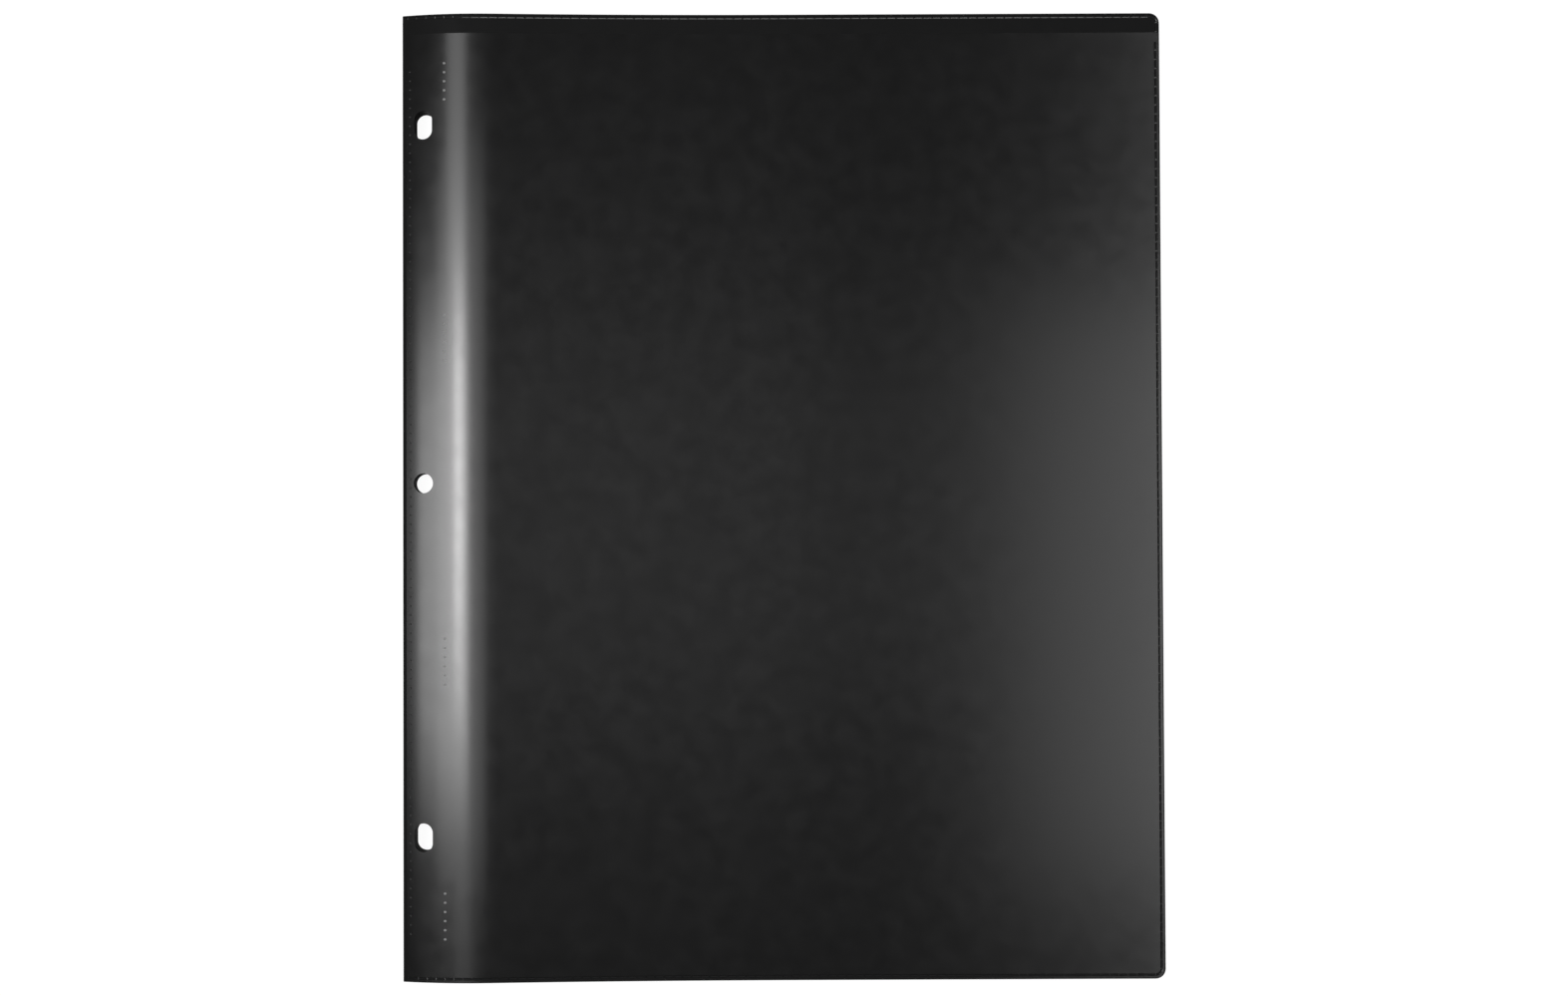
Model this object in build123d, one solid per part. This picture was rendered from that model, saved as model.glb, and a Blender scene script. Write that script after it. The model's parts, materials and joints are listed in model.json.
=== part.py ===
from build123d import *
import os

# A multi-pocket polypropylene folder, punched for a three-ring binder and closed on its back cover.
# X runs from the folded spine to the fore edge, Y up the page and Z up through the stack.
# The origin is the middle of the back cover's underside.

# Driving dimensions, in millimetres. "From the fold" is measured from the outside of the spine.
cover_width = 230.5
cover_height = 293.0
corner_radius = 3.0

# Sheet thicknesses.
cover_ply = 0.6
film_ply = 0.2
liner_ply = 0.3
leaf_ply = 0.4
pocket_ply = 0.3
leaf_count = 4

# Air between neighbouring bodies: over the flat part, at the crest and at the spine fold.
flat_gap = 0.22
crest_gap = 1.08
fold_gap = 0.24

# Lines across the section, from the fold.
crest_line = 22.5
flat_line = 115.0
first_leaf_hinge = 5.0
leaf_hinge_step = 1.5
hinge_slit = 0.8
fold_radius = 1.0
inner_fold_radius = 0.4

# Punched holes: a slot each side of the page's middle, and a round hole a little below midway between them.
hole_from_fold = 6.5
slots_above_middle = 4.95
slot_spacing = 215.9
round_hole_drop = 0.85
hole_diameter = 6.0
slot_width = 5.6
slot_length = 8.7

# The view film stops below the top edge and just inside the other edges.
film_below_top = 5.9
film_inset = 0.3
film_from_fold = 1.2

# The leaves are a little smaller than the covers, and their pockets have slanted mouths.
leaf_inset_edge = 1.0
leaf_inset_ends = 2.5
pocket_mouth_at_hinge = 205.0
pocket_mouth_at_edge = 150.0

# Worked out from the values above.
leaf_stack = leaf_ply + 2 * pocket_ply
back_stack = cover_ply + liner_ply
leaves_stack = back_stack + leaf_count * leaf_stack
full_stack = leaves_stack + liner_ply + cover_ply + film_ply
gap_count = leaf_count + 1
crest_top = full_stack + gap_count * crest_gap
half_slit = hinge_slit / 2


def from_fold(distance):
    """X of a line this far from the outside of the spine."""
    return distance - cover_width / 2


def from_bottom(distance):
    """Y of a line this far above the bottom edge."""
    return distance - cover_height / 2


def surface_line(solid_below, gaps_below):
    """Section line of a surface that has this much sheet, and this many air gaps, under it."""
    fold_z = solid_below + gaps_below * fold_gap
    crest_z = solid_below + gaps_below * crest_gap
    flat_z = solid_below + gaps_below * flat_gap
    fold = Vector(from_fold(0), 0, fold_z)
    crest = Vector(from_fold(crest_line), 0, crest_z)
    flat = Vector(from_fold(flat_line), 0, flat_z)
    edge = Vector(from_fold(cover_width), 0, flat_z)
    before_crest = Vector(from_fold(crest_line / 2), 0, crest_z)
    after_crest = Vector(from_fold((crest_line + flat_line) / 2), 0, flat_z)
    return [Bezier(fold, before_crest, crest), Bezier(crest, after_crest, flat), Line(flat, edge)]


def curved_ply(plan, solid_below, gaps_below, thickness):
    """One sheet that follows the humped stack, cut to its plan."""
    lower = surface_line(solid_below, gaps_below)
    upper = [edge.moved(Location((0, 0, thickness))) for edge in lower]
    ends = [Line(lower[0] @ 0, upper[0] @ 0), Line(lower[-1] @ 1, upper[-1] @ 1)]
    section = Face(Wire(lower + upper + ends))
    slab = extrude(section, amount=cover_height, dir=(0, 1, 0), both=True)
    return slab & extrude(plan, amount=crest_top + 1)


def rounded_plan(start, end, low, high, radius, rounded_corners=2):
    """Plan of a sheet, with one or both of its corners at the fore edge rounded, the lower one first."""
    plan = Pos(from_fold((start + end) / 2), from_bottom((low + high) / 2)) * Rectangle(end - start, high - low)
    corners = plan.vertices().sort_by(Axis.X)[-2:].sort_by(Axis.Y)[:rounded_corners]
    return fillet(corners, radius)


def square_plan(start, end, low, high):
    """Plan of a sheet with square corners."""
    return Pos(from_fold((start + end) / 2), from_bottom((low + high) / 2)) * Rectangle(end - start, high - low)


def pocket_plan(start, end, low):
    """Plan of a pocket with a slanted mouth, and its lower fore-edge corner rounded."""
    points = [
        (from_fold(start), from_bottom(low)),
        (from_fold(end), from_bottom(low)),
        (from_fold(end), from_bottom(pocket_mouth_at_edge)),
        (from_fold(start), from_bottom(pocket_mouth_at_hinge)),
    ]
    plan = make_face(Polyline(points + points[:1]))
    corner = plan.vertices().sort_by(Axis.Y)[:2].sort_by(Axis.X)[-1:]
    return fillet(corner, corner_radius)


def punched(sheet):
    """The sheet with the three ring holes cut through it."""
    middle = from_bottom(cover_height / 2 + slots_above_middle)
    reach = crest_top * 3
    round_place = Pos(from_fold(hole_from_fold), middle - round_hole_drop, 0)
    round_hole = round_place * Cylinder(hole_diameter / 2, reach)
    slot_plan = SlotOverall(slot_length, slot_width, rotation=90)
    cutters = [round_hole]
    for side in (-1, 1):
        place = Pos(from_fold(hole_from_fold), middle + side * slot_spacing / 2)
        cutters.append(extrude(place * slot_plan, amount=reach, both=True))
    return sheet - cutters


def save(name, shape):
    """Write one named piece, which is always a single closed solid."""
    solid = shape.solids()[0]
    solid.label = name
    export_step(solid, f"parts/{name}.step")


def leaf_hinge_line(number):
    """Distance from the fold to a leaf's hinge: the lowest leaf turns furthest from the spine."""
    return crest_line + first_leaf_hinge + leaf_hinge_step * (leaf_count - number)


def spine_wrap():
    """The middle of the cover sheet: back strip, spine and front strip, folded in one piece."""
    plan = square_plan(0, crest_line - half_slit, 0, cover_height)
    front_strip = curved_ply(plan, leaves_stack + liner_ply, gap_count, cover_ply)
    back_strip = extrude(plan, amount=cover_ply)
    wall_height = leaves_stack + liner_ply + gap_count * fold_gap + cover_ply / 2
    wall = extrude(square_plan(0, cover_ply, 0, cover_height), amount=wall_height)
    wrap = front_strip + back_strip + wall
    along = wrap.edges().filter_by(Axis.Y)
    outer = along.group_by(Axis.X)[0]
    outer_folds = outer.sort_by(Axis.Z)[:1] + outer.sort_by(Axis.Z)[-1:]
    wrap = fillet(outer_folds, fold_radius)
    inner = wrap.edges().filter_by(Axis.Y).filter_by_position(
        Axis.X, from_fold(cover_ply * 0.9), from_fold(cover_ply * 1.1))
    wrap = fillet(inner, inner_fold_radius)
    return punched(wrap)


def build_covers():
    """The cover sheet in its three hinged lengths, its view film and the two inside pockets."""
    save("spine_wrap", spine_wrap())
    hinge_side = crest_line + half_slit
    cover_plan = rounded_plan(hinge_side, cover_width, 0, cover_height, corner_radius)
    front_base = leaves_stack + liner_ply
    save("front_cover_panel", curved_ply(cover_plan, front_base, gap_count, cover_ply))
    save("back_cover_panel", extrude(cover_plan, amount=cover_ply))

    liner_plan = rounded_plan(hinge_side, cover_width - film_inset, film_inset, cover_height - film_inset,
                              corner_radius - film_inset)
    save("front_liner_pocket", curved_ply(liner_plan, leaves_stack, gap_count, liner_ply))
    save("back_liner_pocket", Pos(0, 0, cover_ply) * extrude(liner_plan, amount=liner_ply))

    film_top = cover_height - film_below_top
    film_base = front_base + cover_ply
    film_plan = rounded_plan(hinge_side, cover_width - film_inset, film_inset, film_top,
                             corner_radius - film_inset, rounded_corners=1)
    save("view_film_panel", curved_ply(film_plan, film_base, gap_count, film_ply))
    margin_plan = square_plan(film_from_fold, crest_line - half_slit, film_inset, film_top)
    save("view_film_margin", punched(curved_ply(margin_plan, film_base, gap_count, film_ply)))


def build_leaf(number):
    """One divider leaf: its welded margin in the spine, its sheet and a pocket on each side."""
    base = back_stack + (number - 1) * leaf_stack
    hinge = leaf_hinge_line(number)
    low = leaf_inset_ends
    high = cover_height - leaf_inset_ends
    end = cover_width - leaf_inset_edge
    margin_plan = square_plan(cover_ply, hinge - half_slit, low, high)
    sheet_plan = rounded_plan(hinge + half_slit, end, low, high, corner_radius)
    leaf_pocket_plan = pocket_plan(hinge + half_slit, end, low)
    save(f"leaf_{number}_margin", punched(curved_ply(margin_plan, base, number, leaf_stack)))
    save(f"leaf_{number}_back_pocket", curved_ply(leaf_pocket_plan, base, number, pocket_ply))
    save(f"leaf_{number}_sheet", curved_ply(sheet_plan, base + pocket_ply, number, leaf_ply))
    front_pocket = curved_ply(leaf_pocket_plan, base + pocket_ply + leaf_ply, number, pocket_ply)
    save(f"leaf_{number}_front_pocket", front_pocket)


os.makedirs("parts", exist_ok=True)
build_covers()
for leaf_number in range(1, leaf_count + 1):
    build_leaf(leaf_number)
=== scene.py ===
# %% [markdown]
# # A punched pocket folder, lying closed on a pale table
# A folder of this kind is made from a few sheets of black polypropylene. The cover is one sheet folded
# twice, a thin glossy film is welded over its front, and four divider leaves with pockets are welded into
# its spine. Three holes go through everything near the fold.
# We build each sheet flat, with its weld marks, then bend it to the shape it has in the closed stack.

# %% Load the frame
import bpy
import bmesh
import json
import math
from mathutils import Matrix, Vector


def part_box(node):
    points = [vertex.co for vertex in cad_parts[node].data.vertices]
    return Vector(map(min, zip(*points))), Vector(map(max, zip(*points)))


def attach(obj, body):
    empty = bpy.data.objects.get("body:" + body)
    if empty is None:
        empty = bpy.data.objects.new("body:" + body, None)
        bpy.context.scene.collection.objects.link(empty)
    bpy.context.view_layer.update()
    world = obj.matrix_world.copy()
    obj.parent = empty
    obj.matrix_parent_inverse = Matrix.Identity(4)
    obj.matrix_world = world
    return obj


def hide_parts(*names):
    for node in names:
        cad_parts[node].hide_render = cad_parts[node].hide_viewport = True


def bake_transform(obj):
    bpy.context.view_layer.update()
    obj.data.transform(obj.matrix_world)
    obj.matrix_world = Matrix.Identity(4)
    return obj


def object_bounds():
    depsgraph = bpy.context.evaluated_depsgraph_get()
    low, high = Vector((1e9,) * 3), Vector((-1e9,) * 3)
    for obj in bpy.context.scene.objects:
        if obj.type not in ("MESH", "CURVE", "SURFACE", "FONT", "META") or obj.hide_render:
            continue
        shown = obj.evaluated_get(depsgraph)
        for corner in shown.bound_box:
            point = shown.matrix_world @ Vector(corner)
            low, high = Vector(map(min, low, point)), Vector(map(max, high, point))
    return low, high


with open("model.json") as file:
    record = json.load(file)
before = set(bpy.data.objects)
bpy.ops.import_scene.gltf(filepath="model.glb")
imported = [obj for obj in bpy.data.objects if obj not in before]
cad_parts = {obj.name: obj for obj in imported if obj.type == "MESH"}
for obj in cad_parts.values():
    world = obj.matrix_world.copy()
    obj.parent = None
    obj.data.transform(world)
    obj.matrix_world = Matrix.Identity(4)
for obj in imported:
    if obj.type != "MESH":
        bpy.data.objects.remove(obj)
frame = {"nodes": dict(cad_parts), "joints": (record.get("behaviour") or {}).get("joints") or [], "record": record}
cad_low, cad_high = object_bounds()
print("the folder measures", [round(1000 * side, 1) for side in cad_high - cad_low], "mm")

# %% [markdown]
# ## Where things are
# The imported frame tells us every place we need. X runs from the spine to the fore edge, Y up the page and
# Z up through the stack. The joints give the lines where sheets bend, and the mounts give the ring holes.

# %% Places taken from the frame
MM = 0.001
fold_x = cad_low.x
edge_x = cad_high.x
bottom_y = cad_low.y
top_y = cad_high.y
bend_x = {joint["child"]: joint["pos_m"][0] for joint in frame["joints"]}
mounts = {mount["name"]: mount for mount in frame["record"]["mounts"]}
leaf_numbers = [1, 2, 3, 4]
print("bending lines, from the fold:", {body: round((x - fold_x) / MM, 1) for body, x in bend_x.items()})

# %% [markdown]
# ## The humped stack
# A closed folder isn't flat. The spine bunches its sheets together, so the stack rises from the fold to a
# crest on the binding strip and slides down to its flat thickness a third of the way across the page. One
# rule makes the whole hump: the air between two neighbouring sheets is wide at the crest and thin
# elsewhere. A sheet's height is then the sheets under it plus its share of that air.

# %% Sheet thicknesses and the air between sheets
cover_ply = 0.6 * MM
film_ply = 0.2 * MM
liner_ply = 0.3 * MM
leaf_ply = 0.4 * MM
pocket_ply = 0.3 * MM
leaf_stack = leaf_ply + 2 * pocket_ply
fold_gap = 0.24 * MM
crest_gap = 1.08 * MM
flat_gap = 0.22 * MM
crest_line = 22.5 * MM
flat_line = 115 * MM
crest_softness = 6.5 * MM
air_samples = 8
step_length = 0.01 * MM
all_gaps = len(leaf_numbers) + 1
cover_base = cover_ply + liner_ply + len(leaf_numbers) * leaf_stack + liner_ply


def creased_air(from_fold):
    """Air between two neighbouring sheets, with a sharp crease at the crest."""
    if from_fold < crest_line:
        return crest_gap - (crest_gap - fold_gap) * (1 - from_fold / crest_line) ** 2
    down = min(1, (from_fold - crest_line) / (flat_line - crest_line))
    return flat_gap + (crest_gap - flat_gap) * (1 - down) ** 2


def air(x):
    """Air between two neighbouring sheets at this X, averaged over a few millimetres to round the crest."""
    steps = range(-air_samples, air_samples + 1)
    return sum(creased_air(x - fold_x + crest_softness * step / air_samples) for step in steps) / len(steps)


def air_slope(x):
    """How fast that air widens along X."""
    return (air(x + step_length) - air(x - step_length)) / (2 * step_length)


crest_top = cover_base + cover_ply + film_ply + all_gaps * air(fold_x + crest_line)
print("crest height", round(crest_top / MM, 2), "mm, and in the frame", round(cad_high.z / MM, 2))

# %% [markdown]
# ## One flat sheet, ready to bend
# Every sheet starts as a single rectangle made by `create_grid`. We bevel its two corners at the fore edge,
# then cut it with `bisect_plane` into strips, so that it has lines to bend along. Two rings are inset along
# its rim. The second ring is the welded seam, and its faces become the weld marks. The rectangle starts a
# little too far to the left, so that cutting it to length also cuts away the rings on the spine side.

# %% Cutting helpers
weld_pitch = 2.75 * MM
rim_width = 0.45 * MM
seam_width = 0.95 * MM
spare = 4 * MM
bend_reach = 0.9 * MM
bend_lines = 5
end_strip = 3 * MM
corner_steps = 6
tiny = 0.01 * MM


def cut(bm, faces, x=None, y=None, point=None, normal=None, trim=False):
    """Cut these faces along a line, and with trim remove what is on the normal's side."""
    if x is not None:
        point, normal = (x, 0, 0), normal or (1, 0, 0)
    if y is not None:
        point, normal = (0, y, 0), normal or (0, 1, 0)
    edges = {edge for face in faces for edge in face.edges}
    verts = {vert for face in faces for vert in face.verts}
    bmesh.ops.bisect_plane(bm, geom=[*faces, *edges, *verts], dist=tiny / 10, plane_co=point,
                           plane_no=normal, clear_outer=trim)


def strip_lines(start, end, bend):
    """Where to cut a sheet into strips: one weld pitch apart, and closer where it bends."""
    lines = [bend + bend_reach * step / bend_lines for step in range(-bend_lines, bend_lines + 1)]
    lines = [bend - weld_pitch / 2, *lines, bend + weld_pitch / 2]
    while lines[0] - weld_pitch > start:
        lines.insert(0, lines[0] - weld_pitch)
    while lines[-1] + weld_pitch < end - end_strip:
        lines.append(lines[-1] + weld_pitch)
    return lines


def flat_sheet(start, end, low, high, bend, corner, extra_lines=(), square_top=False):
    """A flat sheet with bending lines, and a seam ring tagged in the face layer "seam"."""
    bm = bmesh.new()
    seam = bm.faces.layers.int.new("seam")
    first = start - spare
    bmesh.ops.create_grid(bm, x_segments=1, y_segments=1, size=0.5)
    bmesh.ops.scale(bm, vec=(end - first, high - low, 1), verts=bm.verts)
    bmesh.ops.translate(bm, vec=((first + end) / 2, (low + high) / 2, 0), verts=bm.verts)
    corners = [vert for vert in bm.verts if vert.co.x > end - tiny and not (square_top and vert.co.y > 0)]
    bmesh.ops.bevel(bm, geom=corners, affect="VERTICES", offset=corner, offset_type="OFFSET",
                    segments=corner_steps, profile=0.5, material=-1)
    for x in sorted({*strip_lines(start, end, bend), *extra_lines}):
        cut(bm, bm.faces[:], x=x)
    side = [edge for edge in bm.edges if edge.calc_length() > (high - low) / 2
            and min(vert.co.x for vert in edge.verts) > end - tiny]
    marks = round((high - low - 2 * corner) / weld_pitch)
    bmesh.ops.subdivide_edges(bm, edges=side, cuts=marks - 1)
    inside = bm.faces[:]
    bmesh.ops.inset_region(bm, faces=inside, thickness=rim_width, use_boundary=True, use_even_offset=True)
    ring = bmesh.ops.inset_region(bm, faces=inside, thickness=seam_width, use_boundary=True,
                                  use_even_offset=True)["faces"]
    for face in ring:
        face[seam] = 1
    cut(bm, bm.faces[:], x=start, normal=(-1, 0, 0), trim=True)
    return bm


# %% Thickness, weld marks and bending
mark_border = 0.08 * MM
mark_slope = 0.225 * MM
mark_depth = 0.12 * MM
least_mark = 0.7 * weld_pitch


def thicken(bm, thickness):
    """Give a flat sheet its thickness, with its old faces as the underside."""
    top = bmesh.ops.extrude_face_region(bm, geom=bm.faces[:])["geom"]
    raised = [part for part in top if isinstance(part, bmesh.types.BMVert)]
    bmesh.ops.translate(bm, vec=(0, 0, thickness), verts=raised)
    bmesh.ops.recalc_face_normals(bm, faces=bm.faces[:])


def press(bm, faces, depth):
    """Press these faces in, one by one."""
    bmesh.ops.inset_individual(bm, faces=faces, thickness=mark_border, use_even_offset=True)
    walls = bmesh.ops.inset_individual(bm, faces=faces, thickness=mark_slope, depth=-depth,
                                       use_even_offset=True)["faces"]
    finish_marks(faces, walls)


def finish_marks(floors, walls):
    """Point the floors and walls of marks at the piece's second and third materials."""
    for face in floors:
        face.material_index = 1
    for face in walls:
        face.material_index = 2


def press_seam(bm, depth, bend, wanted):
    """Press in the seam's marks, on the top side, where wanted says so. The narrow faces at the bend and in
    each rounded corner make one mark together."""
    seam = bm.faces.layers.int["seam"]
    marks = []
    shared = {}
    for face in bm.faces:
        centre = face.calc_center_median()
        if face[seam] != 1 or face.normal.z < 0.5 or not wanted(centre):
            continue
        across = abs(centre.x - bend) < weld_pitch / 2
        if across or max(edge.calc_length() for edge in face.edges) < least_mark:
            shared.setdefault((across, centre.y > 0), []).append(face)
        else:
            marks.append(face)
    press(bm, marks, depth)
    for group in shared.values():
        bmesh.ops.inset_region(bm, faces=group, thickness=mark_border, use_even_offset=True)
        walls = bmesh.ops.inset_region(bm, faces=group, thickness=mark_slope, depth=-depth,
                                       use_even_offset=True)["faces"]
        finish_marks(group, walls)
    return len(marks) + len(shared)


def bend_stack(bm, plies_below, gaps_below):
    """Lift a flat sheet to its place in the humped stack."""
    for vert in bm.verts:
        vert.co.z += plies_below + gaps_below * air(vert.co.x)


# %% [markdown]
# ## From bmesh to finished piece
# A sheet's rim is sharp and its face is smooth. `set_sharp_from_angle` keeps both: it marks the edges that
# turn sharply and lets the rest shade smoothly. The holes are punched last, with one cutter through every
# sheet, as the punch in the factory does it.

# %% Piece helpers
sharp_angle = math.radians(22)


def new_piece(bm, name, *materials):
    """Turn a bmesh into an object at the origin, smooth where it should be."""
    for face in bm.faces:
        face.material_index = min(face.material_index, len(materials) - 1)
    bmesh.ops.recalc_face_normals(bm, faces=bm.faces[:])
    mesh = bpy.data.meshes.new(name)
    bm.to_mesh(mesh)
    bm.free()
    mesh.shade_smooth()
    mesh.set_sharp_from_angle(angle=sharp_angle)
    for material in materials:
        mesh.materials.append(material)
    piece = bpy.data.objects.new(name, mesh)
    bpy.context.scene.collection.objects.link(piece)
    return piece


def apply_modifiers(piece):
    """Keep the result of a piece's modifiers as its mesh."""
    bpy.context.view_layer.update()
    evaluated = piece.evaluated_get(bpy.context.evaluated_depsgraph_get())
    mesh = bpy.data.meshes.new_from_object(evaluated)
    piece.modifiers.clear()
    piece.data = mesh
    mesh.set_sharp_from_angle(angle=sharp_angle)


broad_face = math.cos(math.radians(6))


def lay_normals(piece, gaps_below):
    """Give a sheet's broad faces the hump's exact normals, so that reflections run without bands."""
    mesh = piece.data
    normals = [corner.vector.copy() for corner in mesh.corner_normals]
    exact_at = {}
    for face in mesh.polygons:
        for loop in face.loop_indices:
            x = mesh.vertices[mesh.loops[loop].vertex_index].co.x
            if x not in exact_at:
                exact_at[x] = Vector((-gaps_below * air_slope(x), 0, 1)).normalized()
            exact = exact_at[x]
            facing = face.normal.dot(exact)
            if abs(facing) > broad_face:
                normals[loop] = exact * math.copysign(1, facing)
    mesh.normals_split_custom_set(normals)


post_sides = 64
post_length = 60 * MM


def ring_cutter():
    """Three posts in one mesh: a round one for the middle ring and a slot-shaped one each side of it."""
    bm = bmesh.new()
    hole = mounts["ring_hole"]
    slots = mounts["ring_slots"]
    x, middle = hole["pos_m"][0], slots["pos_m"][1]
    half_spacing = slots["dims"]["spacing_y_mm"] * MM / 2
    slot_radius = slots["dims"]["hole_r_mm"] * MM
    straight = slots["dims"]["slot_length_mm"] * MM / 2 - slot_radius
    places = [(hole["pos_m"][1], hole["dims"]["r_mm"] * MM, 0),
              (middle - half_spacing, slot_radius, straight), (middle + half_spacing, slot_radius, straight)]
    for y, radius, stretch in places:
        made = bmesh.ops.create_cone(bm, cap_ends=True, segments=post_sides, radius1=radius, radius2=radius,
                                     depth=post_length)["verts"]
        bmesh.ops.rotate(bm, verts=made, cent=(0, 0, 0), matrix=Matrix.Rotation(math.pi / post_sides, 3, "Z"))
        for way in (-1, 1):
            half = [vert for vert in made if vert.co.y * way > 0]
            bmesh.ops.translate(bm, verts=half, vec=(0, way * stretch, 0))
        bmesh.ops.translate(bm, verts=made, vec=(x, y, 0))
    mesh = bpy.data.meshes.new("ring_cutter")
    bm.to_mesh(mesh)
    bm.free()
    return bpy.data.objects.new("ring_cutter", mesh)


cutter = ring_cutter()
bpy.context.scene.collection.objects.link(cutter)


def punch(piece):
    """Cut the three ring holes through a piece."""
    modifier = piece.modifiers.new("ring holes", "BOOLEAN")
    modifier.object = cutter
    modifier.solver = "EXACT"
    modifier.operation = "DIFFERENCE"
    modifier.material_mode = "TRANSFER"
    apply_modifiers(piece)


def blend_at(piece, margin_nodes):
    """Bake a piece's place into its mesh, and hide the CAD nodes it stands for."""
    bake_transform(piece)
    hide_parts(*margin_nodes)


# %% [markdown]
# ## Black polypropylene
# All the sheets are the same black plastic with different surfaces. The cover and leaves have a fine matte
# grain, and the film is smooth and glossy. The grain is a small bump made from noise a few tenths of a
# millimetre across, and the roughness wanders a little, as a handled plastic's does.
# Where plastic is welded or cut its surface changes: a mark's floor is matte, its walls are smooth from the tool,
# and a punched edge is dull. The tacks are pale grey, a painted highlight for the glint on their small domes, and
# the spine dots dark grey, painted specks of light. Each of these is its own finish. The cutter carries the
# punched one, and the Boolean hands it on to the walls of the holes.

# %% Materials
def node(tree, kind, **settings):
    """Add a shader node and set its attributes."""
    made = tree.nodes.new(kind)
    for name, value in settings.items():
        setattr(made, name, value)
    return made


def noise(tree, coordinates, scale, detail=2.0, roughness=0.5):
    """A noise pattern in the piece's own metres."""
    made = node(tree, "ShaderNodeTexNoise")
    made.inputs["Scale"].default_value = scale
    made.inputs["Detail"].default_value = detail
    made.inputs["Roughness"].default_value = roughness
    tree.links.new(coordinates, made.inputs["Vector"])
    return made.outputs["Fac"]


def spread(tree, value, low, high, low_out, high_out):
    """Move a pattern's range to another one."""
    made = node(tree, "ShaderNodeMapRange")
    for name, number in (("From Min", low), ("From Max", high), ("To Min", low_out), ("To Max", high_out)):
        made.inputs[name].default_value = number
    tree.links.new(value, made.inputs["Value"])
    return made.outputs["Result"]


cloud_scale = 45
wander_scale = 160
plastic_ior = 1.49


def polypropylene(name, shade, rough, rough_wander, grain_height, grain_size, specular=0.5):
    """Sheet plastic: its shade, how rough it is, the size of its grain, and how much it reflects."""
    material = bpy.data.materials.new(name)
    material.use_nodes = True
    tree = material.node_tree
    shader = tree.nodes["Principled BSDF"]
    coordinates = node(tree, "ShaderNodeTexCoord").outputs["Object"]
    cloudy = noise(tree, coordinates, cloud_scale, 4)
    colour = node(tree, "ShaderNodeMix", data_type="RGBA")
    colour.inputs["A"].default_value = (*[0.9 * part for part in shade], 1)
    colour.inputs["B"].default_value = (*[1.1 * part for part in shade], 1)
    tree.links.new(cloudy, colour.inputs["Factor"])
    tree.links.new(colour.outputs["Result"], shader.inputs["Base Color"])
    wander = noise(tree, coordinates, wander_scale, 3)
    tree.links.new(spread(tree, wander, 0.3, 0.7, rough - rough_wander, rough + rough_wander),
                   shader.inputs["Roughness"])
    grain = noise(tree, coordinates, 1 / grain_size, 3, 0.6)
    bump = node(tree, "ShaderNodeBump")
    bump.inputs["Strength"].default_value = 1.0
    bump.inputs["Distance"].default_value = grain_height
    tree.links.new(grain, bump.inputs["Height"])
    tree.links.new(bump.outputs["Normal"], shader.inputs["Normal"])
    shader.inputs["Specular IOR Level"].default_value = specular
    shader.inputs["IOR"].default_value = plastic_ior
    return material


black = (0.0045, 0.0045, 0.0046)
cover_finish = polypropylene("matte_cover", black, 0.55, 0.04, 0.012 * MM, 0.30 * MM, 0.09)
film_finish = polypropylene("glossy_film", black, 0.18, 0.015, 0.0006 * MM, 0.45 * MM, 0.5)
leaf_finish = polypropylene("leaf_sheet", black, 0.42, 0.04, 0.010 * MM, 0.35 * MM, 0.4)
weld_floor = polypropylene("weld_floor", black, 0.50, 0.04, 0.012 * MM, 0.30 * MM, 0.12)
weld_wall = polypropylene("weld_wall", black, 0.20, 0.015, 0.0006 * MM, 0.45 * MM, 0.5)
# Painted highlight: the tacks' pale grey stands in for the glint that their small domes catch.
tack_glint_finish = polypropylene("tack_painted_glint", (0.24, 0.24, 0.24), 0.55, 0.04, 0.002 * MM, 0.3 * MM, 0.3)
# Painted highlight: the spine dots' dark grey, lighter than the black film, paints faint specks of light on them.
spine_dot_speck_finish = polypropylene("spine_dot_painted_specks", (0.018, 0.018, 0.018), 0.45, 0.04, 0.002 * MM, 0.3 * MM, 0.4)
punched_finish = polypropylene("punched_edge", black, 0.75, 0.05, 0.02 * MM, 0.2 * MM, 0.04)
cutter.data.materials.append(punched_finish)
pocket_finish = polypropylene("pocket_film", black, 0.26, 0.03, 0.002 * MM, 0.4 * MM, 0.5)

# %% [markdown]
# ## The cover's front half and spine
# The cover sheet is folded round the stack. Its front half starts under the spine's back corner, goes round
# the corner, up the spine, round the front corner and over the hump. We model it flat, with the length it
# needs, and then roll the left end round the spine: each point's distance from the start tells how far round
# it is. The underside is offset square to the surface, so the sheet keeps its thickness in the corners.

# %% Rolling the sheet round the spine
fold_radius = 1.0 * MM
corner_lines = 6
first_guess = 0.7
settling_rounds = 20


def cover_top(x):
    """Height of the front cover's outer face."""
    return cover_base + cover_ply + all_gaps * air(x)


def slope_at(x):
    """Rise of the front cover's face for each metre of X."""
    return all_gaps * air_slope(x)


def front_corner():
    """Where the spine's front corner ends: its X, its angle, and the height of its arc's centre."""
    x = fold_x + first_guess * fold_radius
    for step in range(settling_rounds):
        lean = math.atan(slope_at(x))
        x = fold_x + fold_radius * (1 - math.sin(lean))
    return x, lean, cover_top(x) - fold_radius * math.cos(lean)


corner_x, corner_lean, corner_z = front_corner()
back_arc = fold_radius * math.pi / 2
front_arc = fold_radius * (math.pi / 2 - corner_lean)
wall_length = corner_z - fold_radius
roll_length = back_arc + wall_length + front_arc
roll_start = corner_x - roll_length


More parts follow.
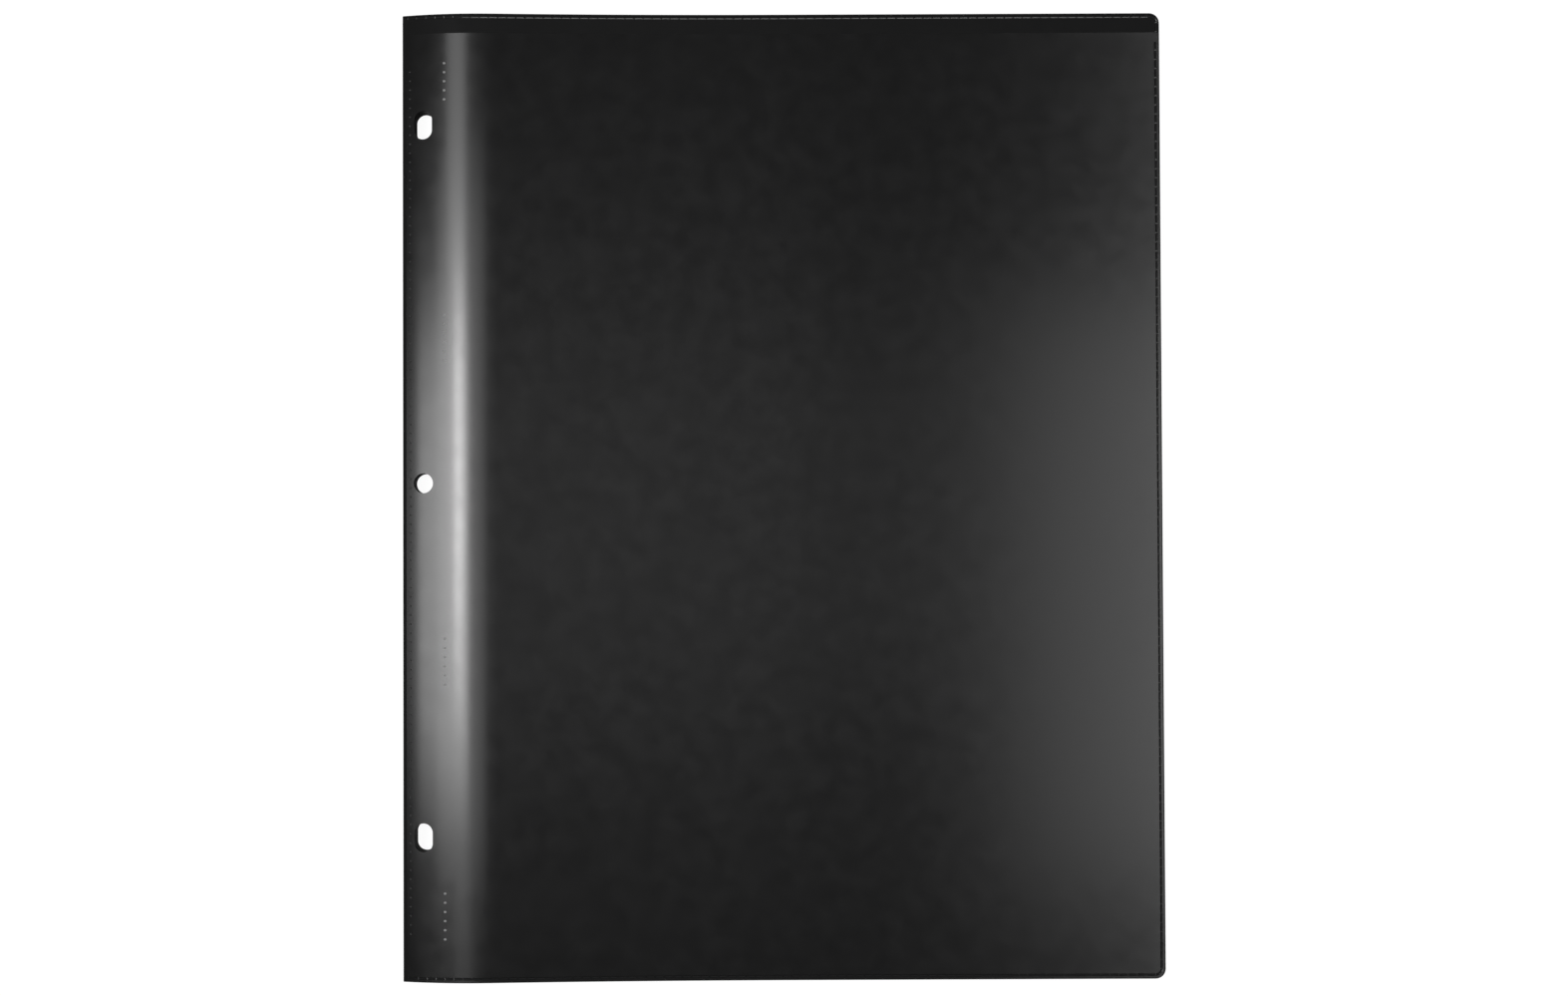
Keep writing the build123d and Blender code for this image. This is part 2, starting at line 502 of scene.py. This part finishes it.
def on_cover(x):
    """Point and outward direction on the cover's outer face, for a point of the flat sheet at this X."""
    if x >= corner_x:
        lean = math.atan(slope_at(x))
        return Vector((x, 0, cover_top(x))), Vector((-math.sin(lean), 0, math.cos(lean)))
    along = x - roll_start
    if along < back_arc:
        angle = -math.pi / 2 - along / fold_radius
        centre = Vector((fold_x + fold_radius, 0, fold_radius))
    elif along < back_arc + wall_length:
        return Vector((fold_x, 0, fold_radius + along - back_arc)), Vector((-1, 0, 0))
    else:
        angle = math.pi - (along - back_arc - wall_length) / fold_radius
        centre = Vector((fold_x + fold_radius, 0, corner_z))
    outward = Vector((math.cos(angle), 0, math.sin(angle)))
    return centre + fold_radius * outward, outward


def roll_cover(bm):
    """Bend the flat cover sheet, whose top is at its thickness, round the spine and over the hump."""
    for vert in bm.verts:
        point, outward = on_cover(vert.co.x)
        depth = cover_ply - vert.co.z
        place = point - depth * outward
        vert.co = (place.x, vert.co.y, place.z)


corner_cuts = [roll_start + back_arc * step / corner_lines for step in range(1, corner_lines + 1)]
corner_cuts += [corner_x - front_arc * step / corner_lines for step in range(corner_lines + 1)]
print("the sheet rolled round the spine is", round(roll_length / MM, 2), "mm long")

# %% Front cover and spine
film_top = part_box("view_film_panel")[1].y
cover_corner = 3 * MM
sheet_inset = 0.3 * MM

sheet = flat_sheet(roll_start, edge_x, bottom_y, top_y, bend_x["front_cover"], cover_corner, corner_cuts)
thicken(sheet, cover_ply)
made = press_seam(sheet, mark_depth, bend_x["front_cover"],
                  lambda centre: centre.x > corner_x and centre.y > film_top)
roll_cover(sheet)
cover_front = new_piece(sheet, "cover_front", cover_finish, weld_floor, weld_wall)
punch(cover_front)
lay_normals(cover_front, all_gaps)
blend_at(cover_front, ["spine_wrap", "front_cover_panel"])
print("front cover:", made, "weld marks,", len(cover_front.data.polygons), "faces")

# %% Back cover
sheet = flat_sheet(fold_x + fold_radius, edge_x, bottom_y, top_y, bend_x["back_cover"], cover_corner)
thicken(sheet, cover_ply)
cover_back = new_piece(sheet, "cover_back", cover_finish)
punch(cover_back)
lay_normals(cover_back, 0)
blend_at(cover_back, ["back_cover_panel"])

# %% [markdown]
# ## The view film
# A thin glossy film covers the front. It is welded at its right and bottom edges, where the seam's marks go
# through it, and along the spine by a row of small dots. Four groups of tacks stop a page that is slipped
# under the film from covering the holes. Its top edge is open, and its corner there is square.
# A dot starts as one long cell of the sheet. We subdivide the cell's edges, move its eight corners onto an
# oval and inset it twice, up or down, which makes a shallow dome or pit from a few dozen triangles.

# %% Dots in the film
cell_width = 0.9 * MM
dot_rise = 0.09 * MM
dot_slope = 0.2 * MM
rise_shares = (0.65, 0.35)


def column_faces(bm, x, low, high):
    """The sheet's faces between a dot column's two lines, and between these heights."""
    seam = bm.faces.layers.int["seam"]
    half = cell_width / 2 + mark_border
    centres = {face: face.calc_center_median() for face in bm.faces if face[seam] == 0}
    return [face for face, centre in centres.items() if abs(centre.x - x) < half and low < centre.y < high]


def dot_column(bm, x, low, count, tag):
    """Mark out a column of cells for dots, one weld pitch apart, with this tag in the face layer "seam"."""
    seam = bm.faces.layers.int["seam"]
    half = cell_width / 2 + mark_border
    high = low + count * weld_pitch
    for line in (x - half, x + half):
        cut(bm, [face for face in bm.faces if face[seam] == 0], x=line)
    for step in range(count + 1):
        cut(bm, column_faces(bm, x, bottom_y, top_y), y=low + step * weld_pitch)
    cells = column_faces(bm, x, low, high)
    inner = [edge for edge in {edge for face in cells for edge in face.edges}
             if all(abs(vert.co.x - x) < half - tiny for vert in edge.verts)
             and abs(edge.verts[0].co.x - edge.verts[1].co.x) < tiny]
    bmesh.ops.dissolve_edges(bm, edges=inner, use_verts=False)
    for face in column_faces(bm, x, low, high):
        face[seam] = tag


def shape_dots(bm, tag, rise, size, material_index):
    """Raise a round dot in each cell with this tag, or press it in where the rise is negative."""
    seam = bm.faces.layers.int["seam"]
    dots = [face for face in bm.faces if face[seam] == tag and face.normal.z > 0.5]
    bmesh.ops.inset_individual(bm, faces=dots, thickness=mark_border, use_even_offset=True)
    bmesh.ops.subdivide_edges(bm, edges=list({edge for face in dots for edge in face.edges}), cuts=1)
    for face in dots:
        centre = face.calc_center_bounds()
        for vert in face.verts:
            away = vert.co - centre
            away = Vector((away.x / cell_width, away.y / weld_pitch, 0)).normalized()
            vert.co = centre + Vector((away.x * size[0] / 2, away.y * size[1] / 2, 0))
    for share in rise_shares:
        sides = bmesh.ops.inset_individual(bm, faces=dots, thickness=dot_slope / 2, depth=rise * share,
                                           use_even_offset=True)["faces"]
        for face in [*dots, *sides]:
            face.material_index = material_index
    return len(dots)


# %% The film itself
film_low, film_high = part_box("view_film_margin")[0].y, film_top
film_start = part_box("view_film_margin")[0].x
film_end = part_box("view_film_panel")[1].x
dot_tag = 2
tack_tag = 3
open_edge = 2 * MM
spine_dots_from_fold = 2.45 * MM
tacks_from_fold = 13.1 * MM
tack_groups = [(20.0 * MM, 6), (96.7 * MM, 6), (194.6 * MM, 6), (272.5 * MM, 5)]
spine_dot_count = 96
spine_dots_from_bottom = 13.1 * MM

sheet = flat_sheet(film_start, film_end, film_low, film_high, bend_x["front_cover"],
                   cover_corner - sheet_inset, square_top=True)
dot_column(sheet, fold_x + spine_dots_from_fold, bottom_y + spine_dots_from_bottom, spine_dot_count,
           dot_tag)
for height, count in tack_groups:
    dot_column(sheet, fold_x + tacks_from_fold, bottom_y + height - count * weld_pitch / 2, count, tack_tag)
thicken(sheet, film_ply)
made = press_seam(sheet, mark_depth, bend_x["front_cover"],
                  lambda centre: centre.y < film_high - open_edge)
# Materials 3 and 4 are painted highlights: the tacks' pale glint and the spine dots' dark grey specks of light.
made += shape_dots(sheet, dot_tag, -dot_rise, (0.65 * MM, 0.55 * MM), 4)
made += shape_dots(sheet, tack_tag, dot_rise, (0.9 * MM, 0.7 * MM), 3)
bend_stack(sheet, cover_base + cover_ply, all_gaps)
view_film = new_piece(sheet, "view_film", film_finish, weld_floor, weld_wall, tack_glint_finish, spine_dot_speck_finish)
punch(view_film)
lay_normals(view_film, all_gaps)
blend_at(view_film, ["view_film_margin", "view_film_panel"])
print("view film:", made, "weld marks,", len(view_film.data.polygons), "faces")

# %% [markdown]
# ## Inside pockets and divider leaves
# A thin sheet is welded to the inside of each cover and makes a pocket that opens towards the spine. Each
# of the four divider leaves is a sheet with a pocket film on both sides. The pockets' mouths slant, so that a
# page is easy to take hold of. The three plies run together through the binding strip into the spine.

# %% Inside pockets of the covers
play = 0.03 * MM


def liner(name, node_name, body, plies_below, gaps_below):
    """The thin sheet inside a cover."""
    low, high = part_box(node_name)
    bm = flat_sheet(low.x + bend_reach, high.x, low.y, high.y, low.x, cover_corner - sheet_inset)
    thicken(bm, liner_ply - play)
    bend_stack(bm, plies_below, gaps_below)
    piece = new_piece(bm, name, pocket_finish)
    lay_normals(piece, gaps_below)
    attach(piece, body)
    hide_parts(node_name)
    return piece


liner("front_liner", "front_liner_pocket", "front_cover", cover_base - liner_ply, all_gaps)
liner("back_liner", "back_liner_pocket", "back_cover", cover_ply + play, 0)

# %% Divider leaves
def leaf_ply_piece(number, name, nodes, thickness, plies_below, material, mouth=None):
    """One ply of a leaf, from the spine to the fore edge, bent and punched."""
    body = f"leaf_{number}"
    low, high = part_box(f"leaf_{number}_sheet")
    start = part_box(f"leaf_{number}_margin")[0].x
    bm = flat_sheet(start, high.x, low.y, high.y, bend_x[body], cover_corner)
    if mouth:
        (x0, y0), (x1, y1) = mouth
        across = Vector((x1 - x0, y1 - y0, 0)).normalized()
        cut(bm, bm.faces[:], point=(x0, y0, 0), normal=(-across.y, across.x, 0), trim=True)
    thicken(bm, thickness)
    press_seam(bm, mark_depth / 2, bend_x[body], lambda centre: centre.x > bend_x[body] + weld_pitch)
    bend_stack(bm, plies_below, number)
    piece = new_piece(bm, name, material)
    punch(piece)
    lay_normals(piece, number)
    blend_at(piece, nodes)
    return piece


def pocket_mouth(number, side):
    """The two ends of a pocket's slanted mouth, read from its CAD node."""
    corners = [vert.co for vert in frame["nodes"][f"leaf_{number}_{side}_pocket"].data.vertices]
    low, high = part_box(f"leaf_{number}_{side}_pocket")
    at_hinge = max(corner.y for corner in corners if corner.x < low.x + tiny)
    at_edge = max(corner.y for corner in corners if corner.x > high.x - tiny)
    return (low.x, at_hinge), (high.x, at_edge)


for number in leaf_numbers:
    base = cover_ply + liner_ply + (number - 1) * leaf_stack
    names = {part: f"leaf_{number}_{part}" for part in ("margin", "sheet", "front_pocket", "back_pocket")}
    leaf_ply_piece(number, f"leaf_{number}", [names["margin"], names["sheet"]], leaf_ply - play,
                   base + pocket_ply + play / 2, leaf_finish)
    for side, plies in (("back", base), ("front", base + pocket_ply + leaf_ply)):
        leaf_ply_piece(number, f"leaf_{number}_{side}_film", [names[f"{side}_pocket"]], pocket_ply,
                       plies, pocket_finish, pocket_mouth(number, side))
bpy.data.objects.remove(cutter)
print("leaves made:", len(leaf_numbers))

# %% [markdown]
# ## Table, light and camera
# The table is plain and pale. Every lamp is a level softbox seen as a reflection in the film, so we place
# each one where the hump mirrors it. A narrow one on the spine side draws the bright line along the crest,
# with a dim halo round it. Broad ones beside it fill the strip, and two beyond the fore edge lift the
# right-hand side. A low bar past the top edge lights the slanted walls of the weld marks.
# No two lamps share a height: lamps that overlap in one plane would hide parts of each other's light.

# %% Table
table_size = 6
table_drop = 0.9 * MM


def make_table():
    """A large pale surface under the folder."""
    bm = bmesh.new()
    bmesh.ops.create_grid(bm, x_segments=1, y_segments=1, size=table_size)
    bmesh.ops.translate(bm, vec=(0, 0, -table_drop), verts=bm.verts)
    material = bpy.data.materials.new("pale_table")
    material.use_nodes = True
    shader = material.node_tree.nodes["Principled BSDF"]
    shader.inputs["Base Color"].default_value = (0.12, 0.12, 0.12, 1)
    shader.inputs["Roughness"].default_value = 0.9
    shader.inputs["Specular IOR Level"].default_value = 0.1
    shader.inputs["Emission Color"].default_value = (1, 1, 1, 1)
    shader.inputs["Emission Strength"].default_value = 0.95
    table = new_piece(bm, "table", material)


make_table()


# %% Lamps
def lamp(name, x, y, radiance, height):
    """A level softbox. Its ranges of X and Y are for a height of one metre, and scale with its height."""
    data = bpy.data.lights.new(name, "AREA")
    data.shape = "RECTANGLE"
    data.size, data.size_y = (x[1] - x[0]) * height, (y[1] - y[0]) * height
    data.energy = radiance * math.pi * data.size * data.size_y
    holder = bpy.data.objects.new(name, data)
    holder.location = ((x[0] + x[1]) / 2 * height, (y[0] + y[1]) / 2 * height, height)
    bpy.context.scene.collection.objects.link(holder)


lamp("crest_key", (-0.428, -0.298), (-0.083, 0.149), 12.2, 1.00)
lamp("crest_halo", (-0.640, -0.089), (-0.207, 0.234), 1.9, 1.03)
lamp("crest_foot", (-0.430, -0.200), (-0.380, -0.207), 0.6, 1.00)
lamp("spine_softbox", (-0.925, -0.237), (-0.154, 0.139), 6.8, 1.06)
lamp("spine_far", (-1.400, -0.925), (-0.154, 0.139), 0.9, 0.97)
lamp("spine_top", (-0.503, -0.260), (0.136, 0.648), 2.8, 1.09)
lamp("middle_fill", (-0.150, 0.160), (-0.100, 0.120), 0.16, 1.12)
lamp("fore_edge_softbox", (0.154, 0.503), (-0.226, 0.150), 1.5, 1.00)
lamp("fore_edge_fill", (0.278, 0.740), (-0.438, 0.448), 3.2, 1.03)
lamp("head_bar", (-0.45, 0.50), (2.0, 2.7), 6, 0.70)

world = bpy.data.worlds.new("studio")
bpy.context.scene.world = world
world.use_nodes = True
world.node_tree.nodes["Background"].inputs["Color"].default_value = (0.088, 0.088, 0.088, 1)
world.node_tree.nodes["Background"].inputs["Strength"].default_value = 1.0

# %% Camera
camera_data = bpy.data.cameras.new("camera")
camera_data.lens = 67.97
camera_data.sensor_width = 36
camera = bpy.data.objects.new("camera", camera_data)
camera.location = (0.0005, -0.0227, 0.905)
camera.rotation_euler = (math.radians(1.40), math.radians(0.01), math.radians(-0.237))
bpy.context.scene.collection.objects.link(camera)
bpy.context.scene.camera = camera
bpy.context.scene.view_settings.view_transform = "Standard"
